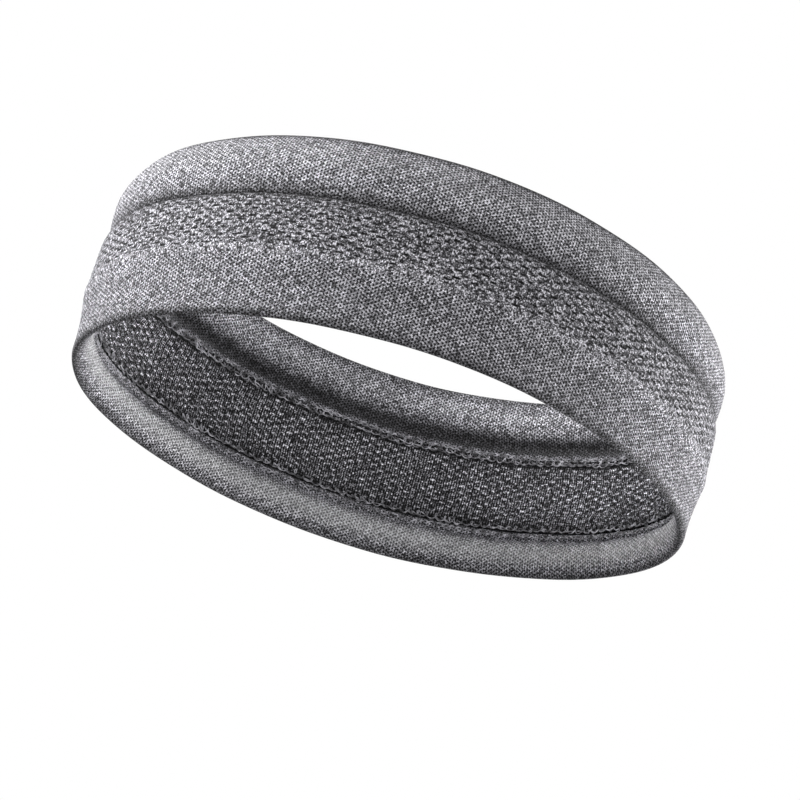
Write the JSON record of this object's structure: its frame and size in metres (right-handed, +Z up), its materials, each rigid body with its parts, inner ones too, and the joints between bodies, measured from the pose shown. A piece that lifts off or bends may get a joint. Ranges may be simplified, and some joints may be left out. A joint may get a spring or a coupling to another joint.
{
  "type": "sports headband",
  "caption": "Wide stretch-knit sweat headband as worn: rolled upper hem, textured centre band, folded lower hem, basket-knit liner and sewn seams inside.",
  "frame": {"origin": "centre of the plane that the lower fold rests on, on the axis of the head opening", "axes": "+X along the long way of the head opening, from back to front; +Y across the head, to the left; +Z up the head, from the lower fold to the rolled upper hem"},
  "size_m": [0.191, 0.152, 0.0601],
  "materials": {
    "hem_jersey": "matte heather grey jersey with a fine stitch lattice",
    "band_knit": "matte heather grey tuck knit with short horizontal dashes",
    "liner_knit": "matte dark heather basket knit",
    "elastic_tape": "matte woven elastic",
    "seam_thread": "soft textured polyester thread"
  },
  "bodies": {
    "root": {"top_hem": "hem_jersey", "centre_band": "band_knit", "bottom_hem": "hem_jersey", "sweat_liner": "liner_knit", "top_elastic": "elastic_tape", "bottom_elastic": "elastic_tape", "upper_seam_loops": "seam_thread", "upper_seam_chain": "seam_thread", "lower_seam_loops": "seam_thread", "lower_seam_chain": "seam_thread"}
  },
  "joints": []
}
